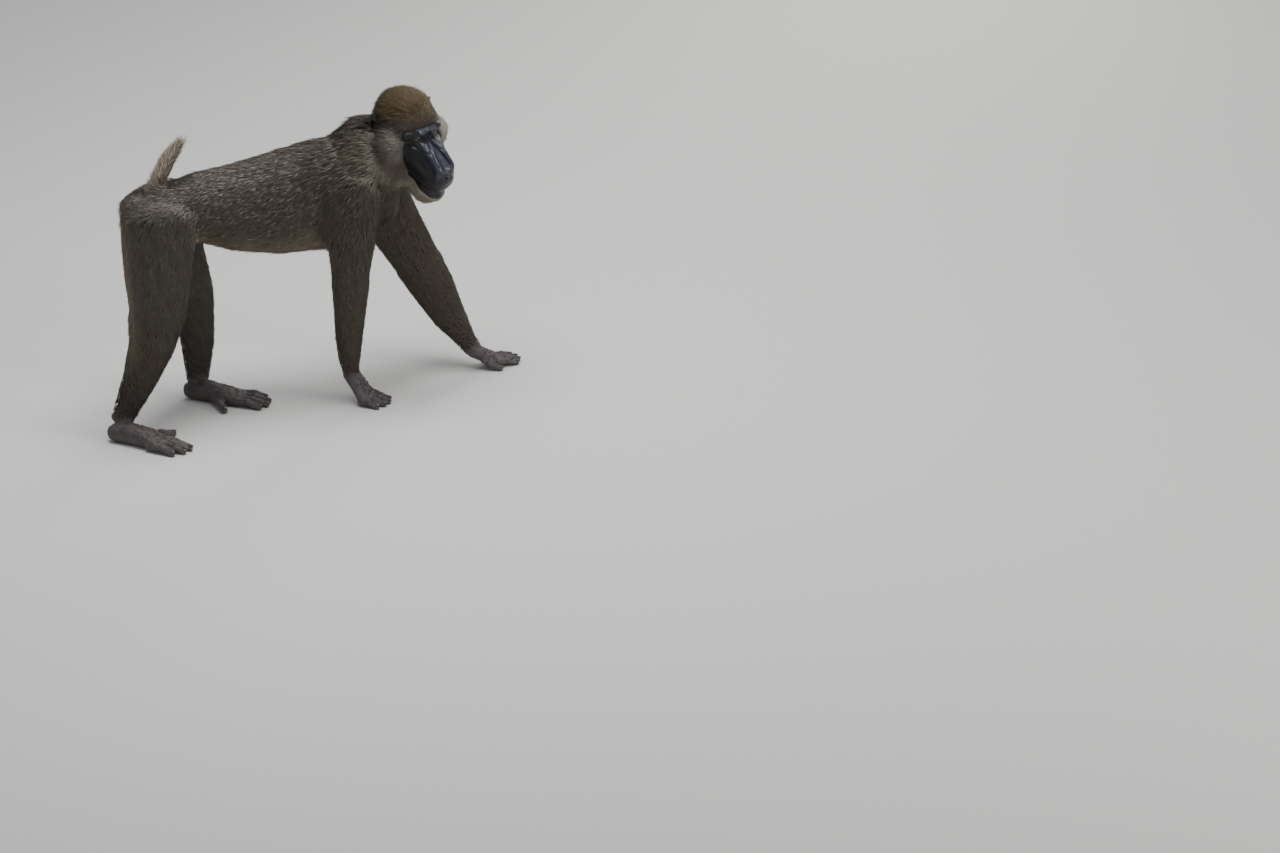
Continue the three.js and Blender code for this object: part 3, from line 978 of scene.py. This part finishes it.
# %% Set the nails on the digits
LIMB_ENDS = {
    "foot_right": ((-405, -21), -40, 1, 1.03), "foot_left": ((-238, 127), -35, -1, 1.03),
    "hand_right": ((68, -11), -38, 1, 1.0), "hand_left": ((318, 57), 6, -1, 1.0),
}
TOES = [(16, 112, 60), (4, 114, 66), (-9, 112, 64), (-21, 106, 55)]
FINGERS = [(18, 40), (6, 47), (-6, 45), (-18, 37)]
FINGER_REACH = {"hand_right": 34, "hand_left": 46}


def digit_tips(name):
    """Knuckle and tip of each digit, along and across the hand or foot."""
    if name.startswith("foot"):
        tips = [((x, y * 1.1), (x + length - 5, y * 1.3), 4.6) for y, x, length in TOES]
        return tips + [((88, 32), (107, 51), 5.4)]
    reach = FINGER_REACH[name]
    tips = [((reach, y), (reach + length - 3, y * 1.2), 4.4) for y, length in FINGERS]
    return tips + [((reach * 0.6, 27), (reach * 0.95 + 2, 37), 4.0)]


def place_on_floor(name, spot):
    (along, across), yaw, medial, scale = LIMB_ENDS[name]
    turn = math.radians(yaw)
    x, y = spot[0] * scale, spot[1] * medial * scale
    return Vector((along + x * math.cos(turn) - y * math.sin(turn),
                   across + x * math.sin(turn) + y * math.cos(turn), 0)) * MM


def tree_of(body):
    corners = [v.co.copy() for v in body.data.vertices]
    return BVHTree.FromPolygons(corners, [tuple(f.vertices) for f in body.data.polygons])


def make_nail(tree, name, knuckle, tip, half_width):
    start, end = place_on_floor(name, knuckle), place_on_floor(name, tip)
    forward = (end - start).normalized()
    spot, normal, _, _ = tree.find_nearest(end + Vector((0, 0, 0.012)))
    normal = (normal + Vector((0, 0, 0.8))).normalized()
    ahead = (forward - normal * forward.dot(normal)).normalized()
    aside = normal.cross(ahead)
    bpy.ops.object.select_all(action="DESELECT")
    bpy.ops.mesh.primitive_uv_sphere_add(segments=16, ring_count=10, radius=1, location=(0, 0, 0))
    nail = bpy.context.active_object
    unit = points_of(nail.data)
    arch = -0.30 * unit[:, 1] ** 2
    size = np.array([6.0, half_width * 0.82, 1.5]) * MM
    shape = unit * size
    shape[:, 2] += arch * half_width * MM
    axes = np.array([ahead, aside, normal])
    set_points(nail.data, shape @ axes + np.array(spot + normal * 0.4 * MM))
    return nail


skin_tree = tree_of(skin)
nails = [make_nail(skin_tree, name, *digit) for name in LIMB_ENDS for digit in digit_tips(name)]
bpy.ops.object.select_all(action="DESELECT")
for nail in nails:
    nail.select_set(True)
bpy.context.view_layer.objects.active = nails[0]
bpy.ops.object.join()
nails = bpy.context.active_object
nails.name = nails.data.name = "nails"
bpy.ops.object.shade_smooth()
nail_finish, nail_shader = new_material("nail", 0.32, (0.020, 0.015, 0.014, 1))
nail_tree = nail_finish.node_tree
nail_place = nail_tree.nodes.new("ShaderNodeTexCoord").outputs["Object"]
nail_grain = link_noise(nail_tree, nail_place, 500, 3)
nail_tree.links.new(colour_steps(nail_tree, nail_grain, [
    (0.3, (0.016, 0.012, 0.011, 1)), (0.7, (0.050, 0.038, 0.032, 1))]),
    nail_shader.inputs["Base Color"])
nails.data.materials.append(nail_finish)
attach(nails, "root")
print("nails:", len(nails.data.polygons), "faces")

# %% [markdown]
# The lie of the coat
# Hair lies from the brow back over the crown, from the face round the cheeks, down the mane and back
# along the trunk, and down the limbs towards the hands and feet. Each part gives its points a
# direction, and sharing between neighbours turns one into the next. The length goes the same way.

# %% Comb the skin
def centre_of(name):
    return np.array(box_centre(name))


def in_head(x, y, z):
    return HEAD_TURN @ np.array([x, y, z], float)


def part_flow(name):
    side = name.rsplit("_", 1)[-1]
    if name in ("chest", "belly"):
        return np.array([-1.0, 0.0, -0.28])
    if name == "rump":
        return np.array([-1.0, 0.0, -0.45])
    if name == "neck":
        return np.array([-0.85, 0.0, -0.50])
    if name == "tail":
        return centre_of("tail") - np.array([-0.30, SPINE_Y, 0.44])
    if name in ("head", "muzzle"):
        return in_head(-1.0, 0.0, -0.05)
    if name == "lower_jaw":
        return in_head(-0.65, 0.0, -0.75)
    below = {"upper_arm": "forearm_", "forearm": "hand_", "thigh": "shank_", "shank": "foot_"}
    stem = name.rsplit("_", 1)[0]
    if stem in below:
        return centre_of(below[stem] + side) - centre_of(name)
    if stem in ("hand", "foot"):
        yaw = math.radians(LIMB_ENDS[name][1])
        return np.array([math.cos(yaw), math.sin(yaw), -0.2])
    return in_head(-0.5, 0.0, -0.8)


def comb(points, normals, parts, edges):
    rows = np.array([part_flow(name) for name in PARTS])
    rows = rows / np.linalg.norm(rows, axis=1)[:, None]
    flow = rows[parts]
    local = to_head(points)
    on_head = near_head(local, 30) * ramp(local[:, 0], -115, -70)
    sideways = np.clip(local[:, 1] / 40, -1, 1) * (1 - ramp(local[:, 2], 16, 34))
    downward = -0.60 * (1 - ramp(local[:, 2], -20, 30))
    cheek = np.column_stack([np.full(len(points), -0.75), 0.75 * sideways, downward])
    flow = towards(flow, cheek @ HEAD_TURN.T, on_head)
    flow = spread(flow, edges, 60)
    flow = flow - normals * (flow * normals).sum(1)[:, None]
    flow = flow + 1e-6
    return flow / np.linalg.norm(flow, axis=1)[:, None]


skin_points, skin_edges = points_of(skin.data), edges_of(skin.data)
skin_normals = normals_of(skin.data)
skin_flow = comb(skin_points, skin_normals, skin_parts, skin_edges)
print("combed:", len(skin_flow), "points")

# %% [markdown]
# The coat
# A single hair is far too fine to model, so each tuft stands for a lock of hairs: three-sided, closed,
# rising from the skin and bending over to lie along it, with a dark root and a pale or dark tip. The
# tufts are spread evenly, one to a small cell, and are built all at once as arrays. Over the nape
# they are longer, and make a low mane.

# %% Choose the roots
SPACING = {
    "chest": 2.15, "belly": 2.2, "rump": 2.0, "neck": 1.65, "head": 1.06, "tail": 1.5,
    "upper_arm": 2.15, "forearm": 1.75, "thigh": 2.15, "shank": 1.9, "lower_jaw": 1.0,
    "muzzle": 1.0, "hand": 2.2, "foot": 2.2, "ear": 2.6,
}
HEIGHT = dict(COAT_DEPTH, tail=10.5, hand=1.6, foot=1.6, ear=1.6)
LENGTH_PER_HEIGHT = 2.65
SHORT_HAIR = 6.0
WIDTH_PER_SPACING = 0.42
PIECE_LIMIT = 19500
MANE = 0.75
THIN_AT = {"hand": 0.16, "foot": 0.16, "ear": 0.5}


def corners_of(mesh):
    flat = np.empty(len(mesh.loops), np.int32)
    mesh.loops.foreach_get("vertex_index", flat)
    return flat.reshape(-1, 3)


def corner_maps(mesh):
    flat = np.empty(len(mesh.loops) * 2, np.float32)
    mesh.uv_layers["OFBake"].data.foreach_get("uv", flat)
    return flat.reshape(-1, 3, 2).astype(float)


def coat_height(points, parts, edges):
    height = per_part(HEIGHT, parts)
    height = spread(height, edges, 25)
    outside = -inside_mask(to_head(points))
    near_face = ramp(150 - np.linalg.norm(to_head(points), axis=1), 0, 20)
    short = 0.22 + 0.78 * ramp(outside, 0, 26)
    height = height * (1 + near_face * (short - 1))
    for name in ("ear_left", "ear_right"):
        gap = np.linalg.norm(points - np.array(box_centre(name)), axis=1) / MM
        height = height * (0.3 + 0.7 * ramp(gap, 12, 26))
    _, y, z = to_head(points).T
    ruff = bump(outside - 14, 11) * ramp(np.abs(y), 26, 38) * (1 - ramp(z, 12, 24)) * near_face
    nape = spread(per_part({"neck": 1.0}, parts) * (points[:, 2] > 0.44), edges, 60)
    return height * (1 + 0.55 * ruff * ramp(-z, -130, -20)) * (1 + MANE * nape)


def choose_roots(mesh, fields):
    """Spreads roots over the triangles, then keeps one in each small cell."""
    triangles = corners_of(mesh)
    a, b, c = (fields["point"][triangles[:, k]] for k in range(3))
    area = np.linalg.norm(np.cross(b - a, c - a), axis=1) / 2
    spacing = per_part(SPACING, fields["part"][triangles[:, 0]], 2.0) * MM
    tries = chance.poisson(3.2 * area / spacing ** 2)
    face = np.repeat(np.arange(len(triangles)), tries)
    u, v = chance.random(len(face)), chance.random(len(face))
    over = u + v > 1
    u[over], v[over] = 1 - u[over], 1 - v[over]
    weight = np.column_stack([1 - u - v, u, v])
    roots = {}
    for key, values in fields.items():
        if key != "part":
            roots[key] = np.einsum("nk,nk...->n...", weight, values[triangles[face]])
    roots["part"] = fields["part"][triangles[face, 0]]
    roots["map"] = np.einsum("nk,nkj->nj", weight, corner_maps(mesh)[face])
    roots["normal"] /= np.linalg.norm(roots["normal"], axis=1)[:, None]
    cell = np.floor(roots["point"] / (spacing[face] * 1.12)[:, None]).astype(np.int64) + 4096
    key = ((roots["part"] * 8192 + cell[:, 0]) * 8192 + cell[:, 1]) * 8192 + cell[:, 2]
    _, kept = np.unique(key, return_index=True)
    roots["crown"] = crown_amount(roots["point"])
    roots["width"] = spacing[face] / MM * WIDTH_PER_SPACING
    return {name: values[kept] for name, values in roots.items()}


def thinning(points, parts, edges):
    """The coat thins out over the wrist and ankle instead of stopping."""
    return spread(per_part(THIN_AT, parts, 1.0), edges, 60)


def grows_hair(roots):
    local = to_head(roots["point"])
    near = np.linalg.norm(local - [20, 0, -40], axis=1) < 130
    mask = near & (inside_mask(local) > -0.3)
    end = per_part({"hand": 1, "foot": 1}, roots["part"]) > 0
    palm = end & ((roots["normal"][:, 2] < 0.25) | (roots["point"][:, 2] < 0.012))
    on_eye = near_eyes(local, 14)
    seat = seat_patch(roots["point"]) > 0.4
    thin = chance.random(len(near)) > roots["share"]
    return ~(mask | palm | on_eye | seat | thin)


skin_height = coat_height(skin_points, skin_parts, skin_edges)
roots = choose_roots(skin.data, {
    "point": skin_points, "normal": skin_normals, "flow": skin_flow, "part": skin_parts,
    "colour": coat_colours, "height": skin_height,
    "share": thinning(skin_points, skin_parts, skin_edges),
})
growing = grows_hair(roots)
roots = {name: values[growing] for name, values in roots.items()}
print("roots:", len(roots["point"]))

# %% [markdown]
# Growing the tufts
# Neighbouring hairs lean together. Slow waves across the body turn and brighten whole patches of tufts,
# and chance turns each a little more. Where the coat is thick the tuft rises steeply and then bends
# over, and where it is short it lies almost flat from the root.

# %% Build one tuft per root
COAT_PIECES = {
    "coat_head_left": ("head", "muzzle", "ear_left"),
    "coat_head_right": ("head", "muzzle", "ear_right"),
    "coat_chin": ("lower_jaw",),
    "coat_neck": ("neck",), "coat_chest": ("chest",), "coat_belly": ("belly",),
    "coat_rump": ("rump", "tail"),
    "coat_arm_right": ("upper_arm_right", "forearm_right", "hand_right"),
    "coat_arm_left": ("upper_arm_left", "forearm_left", "hand_left"),
    "coat_leg_right": ("thigh_right", "shank_right", "foot_right"),
    "coat_leg_left": ("thigh_left", "shank_left", "foot_left"),
}
TUFT_FACES = np.array([
    (0, 2, 1), (0, 1, 4), (0, 4, 3), (1, 2, 5), (1, 5, 4),
    (2, 0, 3), (2, 3, 5), (3, 4, 6), (4, 5, 6), (5, 3, 6)])
RING = np.radians([90, 210, 330])
PATCH = 0.0015
BENDS_AT = 0.40
TIP_SLOPE = math.radians(7)
ROOT_DEPTH = 1.0 * MM


def waves(points, seed, size):
    """A smooth wandering value between minus one and one."""
    dice = np.random.default_rng(seed)
    total = np.zeros(len(points))
    for _ in range(6):
        way = dice.normal(size=3)
        way = way / np.linalg.norm(way) / (size * dice.uniform(0.6, 1.5))
        total += np.sin(points @ way * 2 * math.pi + dice.uniform(0, 6.28))
    return total / 6


def unit(vectors):
    return vectors / np.maximum(np.linalg.norm(vectors, axis=1), 1e-9)[:, None]


def grow(roots):
    count = len(roots["point"])
    point, normal = roots["point"], roots["normal"]
    turn = 0.34 * waves(point, 11, 0.034) + 0.16 * waves(point, 12, 0.012)
    turn = turn + chance.normal(0, 0.15, count)
    stray = np.where(chance.random(count) < 0.05, 1.25, 1.0)
    flow = unit(roots["flow"] - normal * (roots["flow"] * normal).sum(1)[:, None])
    side = np.cross(normal, flow)
    flow = flow * np.cos(turn)[:, None] + side * np.sin(turn)[:, None]
    side = np.cross(normal, flow)
    height = roots["height"] * MM
    height = height * (0.92 + 0.06 * waves(point, 13, 0.014) + chance.normal(0, 0.07, count))
    height = np.clip(height * stray, 0.8 * MM, None)
    length = np.maximum(roots["height"] * LENGTH_PER_HEIGHT, SHORT_HAIR) * MM
    length = length * chance.uniform(0.8, 1.15, count) * (0.5 + 0.5 * stray)
    first_part, last_part = length * BENDS_AT, length * (1 - BENDS_AT)
    rise = np.clip((height - last_part * math.sin(TIP_SLOPE)) / first_part, 0.12, 0.80)
    first = flow * np.sqrt(1 - rise ** 2)[:, None] + normal * rise[:, None]
    second = flow * math.cos(TIP_SLOPE) + normal * math.sin(TIP_SLOPE)
    base = point - normal * ROOT_DEPTH
    middle = base + first * (first_part + ROOT_DEPTH)[:, None]
    tip = middle + second * last_part[:, None]
    width = roots["width"] * chance.uniform(0.75, 1.25, count) * MM
    thick = width * 0.5
    over = unit(np.cross(unit(first + second), side) * -1)
    corners = np.empty((count, 7, 3))
    for k, angle in enumerate(RING):
        ring = side * (math.cos(angle) * width)[:, None] + over * (math.sin(angle) * thick)[:, None]
        corners[:, k] = base + ring * 0.75
        corners[:, 3 + k] = middle + ring
    corners[:, 6] = tip
    corners[:, :, 2] = np.maximum(corners[:, :, 2], 0.0003)
    return corners


def tuft_colours(roots):
    count = len(roots["point"])
    patchy = 1 + 0.14 * waves(roots["point"], 14, 0.020) + 0.07 * waves(roots["point"], 15, 0.007)
    bright = patchy * np.exp(chance.normal(0, 0.08, count))
    ticked = chance.random(count)
    on_crown = roots["crown"]
    pale, dark = 1.18 + 1.15 * on_crown, 0.84 - 0.44 * on_crown
    tip = np.where(ticked < 0.36, pale, np.where(ticked > 0.78, dark, 1.08))
    colours = np.empty((count, 7, 3))
    colours[:, :3] = (roots["colour"] * (bright * 0.60)[:, None])[:, None]
    colours[:, 3:6] = (roots["colour"] * (bright * 0.98)[:, None])[:, None]
    colours[:, 6] = roots["colour"] * (bright * tip)[:, None]
    return np.clip(colours, 0, 0.8)


def tuft_maps(roots):
    offsets = [(math.cos(a) * PATCH, math.sin(a) * PATCH) for a in RING]
    offsets += [(x * 0.55, y * 0.55) for x, y in offsets]
    offsets.append((0.0, 0.0))
    return np.clip(roots["map"][:, None] + np.array(offsets), 0.0, 1.0)


def build_piece(name, roots, material):
    corners = grow(roots)
    count = len(corners)
    faces = (TUFT_FACES[None] + 7 * np.arange(count)[:, None, None]).reshape(-1, 3)
    mesh = bpy.data.meshes.new(name)
    mesh.vertices.add(count * 7)
    mesh.vertices.foreach_set("co", corners.astype(np.float32).ravel())
    mesh.loops.add(len(faces) * 3)
    mesh.loops.foreach_set("vertex_index", faces.astype(np.int32).ravel())
    mesh.polygons.add(len(faces))
    mesh.polygons.foreach_set("loop_start", np.arange(0, len(faces) * 3, 3, dtype=np.int32))
    mesh.update(calc_edges=True)
    mesh.polygons.foreach_set("use_smooth", np.ones(len(faces), bool))
    store(mesh, "coat_colour", with_alpha(tuft_colours(roots).reshape(-1, 3)), "FLOAT_COLOR")
    places = tuft_maps(roots).reshape(-1, 2)[faces.ravel()]
    mesh.uv_layers.new(name="OFBake").data.foreach_set("uv", places.astype(np.float32).ravel())
    mesh.validate()
    mesh.materials.append(material)
    piece = bpy.data.objects.new(name, mesh)
    bpy.context.scene.collection.objects.link(piece)
    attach(piece, "root")
    print(name, count, "tufts")
    return piece


def coat_material():
    material, shader = new_material("coat", 0.66)
    shader.inputs["Specular IOR Level"].default_value = 0.22
    tree = material.node_tree
    colour = tree.nodes.new("ShaderNodeAttribute")
    colour.attribute_name = "coat_colour"
    place = tree.nodes.new("ShaderNodeTexCoord").outputs["Object"]
    fine = link_noise(tree, place, 1400, 3)
    bright = link_math(tree, "MULTIPLY_ADD", fine, 0.7, 0.65)
    tint = tree.nodes.new("ShaderNodeVectorMath")
    tint.operation = "SCALE"
    tree.links.new(colour.outputs["Color"], tint.inputs[0])
    tree.links.new(bright, tint.inputs["Scale"])
    tree.links.new(tint.outputs["Vector"], shader.inputs["Base Color"])
    return material


def grow_coat(roots):
    finish = coat_material()
    pieces = []
    for name, parts in COAT_PIECES.items():
        wanted = np.isin(roots["part"], [PARTS.index(part) for part in parts])
        if name.startswith("coat_head"):
            wanted &= (to_head(roots["point"])[:, 1] > 0) == name.endswith("left")
        chosen = np.nonzero(wanted)[0]
        if len(chosen) > PIECE_LIMIT:
            chosen = np.sort(chance.choice(chosen, PIECE_LIMIT, replace=False))
        chosen_roots = {key: values[chosen] for key, values in roots.items()}
        pieces.append(build_piece(name, chosen_roots, finish))
    return pieces


coat = grow_coat(roots)
print("coat triangles:", sum(len(piece.data.polygons) for piece in coat))
